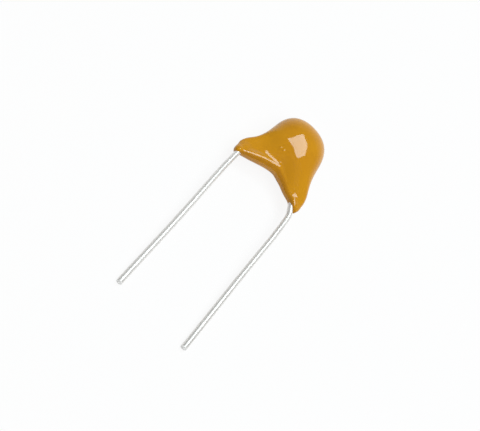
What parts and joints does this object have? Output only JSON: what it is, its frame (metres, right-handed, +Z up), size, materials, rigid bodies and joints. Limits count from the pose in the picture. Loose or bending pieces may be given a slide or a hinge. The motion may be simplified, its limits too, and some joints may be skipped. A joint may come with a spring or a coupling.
{
  "type": "radial-lead ceramic capacitor",
  "caption": "Ceramic capacitor: a ceramic chip sealed in a glossy bell-shaped epoxy coat, on straight parallel wire leads for a circuit board.",
  "frame": {"origin": "centre of the bounding box, on the surface that the capacitor lies on", "axes": "+Y from the cut lead ends to the dome of the coat, +Z up off the surface, X across the two leads"},
  "size_m": [0.0056, 0.0182, 0.0024],
  "materials": {
    "coat": "glossy mustard dipped epoxy",
    "ceramic": "matt fired brown ceramic",
    "termination": "satin tin over nickel",
    "solder": "satin solder",
    "lead": "bright tinned wire"
  },
  "bodies": {
    "root": {"epoxy_coat": "coat", "ceramic_chip": "ceramic", "left_termination": "termination", "right_termination": "termination", "left_solder": "solder", "right_solder": "solder", "left_lead": "lead", "right_lead": "lead"}
  },
  "joints": []
}
